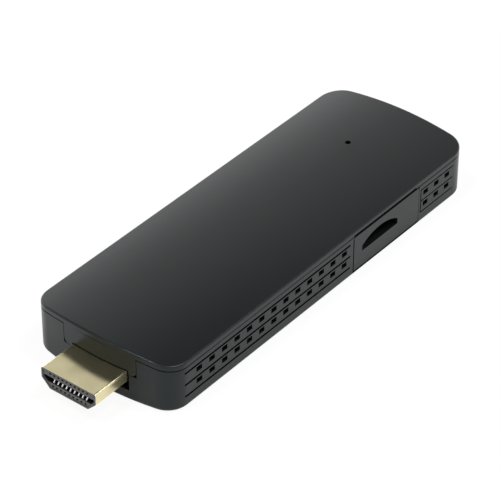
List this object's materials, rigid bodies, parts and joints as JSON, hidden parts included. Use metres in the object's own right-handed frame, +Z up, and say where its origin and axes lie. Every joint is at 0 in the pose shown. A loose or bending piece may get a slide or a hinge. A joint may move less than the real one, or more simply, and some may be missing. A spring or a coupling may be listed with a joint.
{
  "type": "streaming stick",
  "caption": "Slim black streaming stick with a picture plug on one end, vented long sides, a half-moon card slot and a crowned top cover with a pin hole.",
  "frame": {"origin": "centre of the bounding box in plan, at the underside of the case", "axes": "+X from the picture plug to the tail, -Y towards the side with the card slot, +Z up"},
  "size_m": [0.1098, 0.036, 0.0126],
  "materials": {
    "case_plastic": "fine satin moulded black plastic",
    "plug_plating": "pale gold plating, smooth",
    "black_insulator": "moulded black insulator",
    "contact_plating": "bright plated strip",
    "board_laminate": "green solder mask",
    "screw_steel": "zinc plated",
    "chip_resin": "moulded resin",
    "pad_silicone": "soft silicone",
    "sink_aluminium": "extruded, plain",
    "coil_ferrite": "pressed ferrite",
    "capacitor_resin": "moulded resin",
    "capacitor_ceramic": "fired ceramic",
    "tin_steel": "tin plated sheet",
    "slider_nylon": "moulded nylon",
    "spring_wire": "wound spring wire"
  },
  "bodies": {
    "stick": {"lower_housing": "case_plastic", "top_cover": "case_plastic", "card_panel": "case_plastic", "power_panel": "case_plastic", "plug_shell": "plug_plating", "plug_insulator": "black_insulator", "card_socket": "black_insulator", "inlet_core": "black_insulator", "usb_core": "black_insulator", "switch_body": "black_insulator", "upper_contacts": "contact_plating", "lower_contacts": "contact_plating", "card_contacts": "contact_plating", "inlet_contacts": "contact_plating", "usb_contacts": "contact_plating", "main_board": "board_laminate", "radio_board": "board_laminate", "board_screws": "screw_steel", "system_chip": "chip_resin", "memory_chips": "chip_resin", "flash_chip": "chip_resin", "power_chip": "chip_resin", "radio_chip": "chip_resin", "surge_arrays": "chip_resin", "thermal_pad": "pad_silicone", "heat_sink": "sink_aluminium", "inductors": "coil_ferrite", "tantalum_capacitors": "capacitor_resin", "bypass_capacitors": "capacitor_ceramic", "antenna": "capacitor_ceramic", "crystals": "tin_steel", "radio_can": "tin_steel", "card_socket_cover": "tin_steel", "inlet_shell": "tin_steel", "usb_shell": "tin_steel", "card_spring": "spring_wire"},
    "slider": {"card_slider": "slider_nylon"},
    "plunger": {"reset_plunger": "slider_nylon"}
  },
  "joints": [
    {"name": "card_push", "type": "slide", "parent": "stick", "child": "slider", "axis": [0, 1, 0], "range_m": [0, 0.0012], "stiffness_N_per_m": 300, "springref_m": -0.002, "deforming": ["card_spring"]},
    {"name": "reset_press", "type": "slide", "parent": "stick", "child": "plunger", "axis": [0, 0, -1], "range_m": [0, 0.00025], "stiffness_N_per_m": 400, "springref_m": -0.0005}
  ]
}
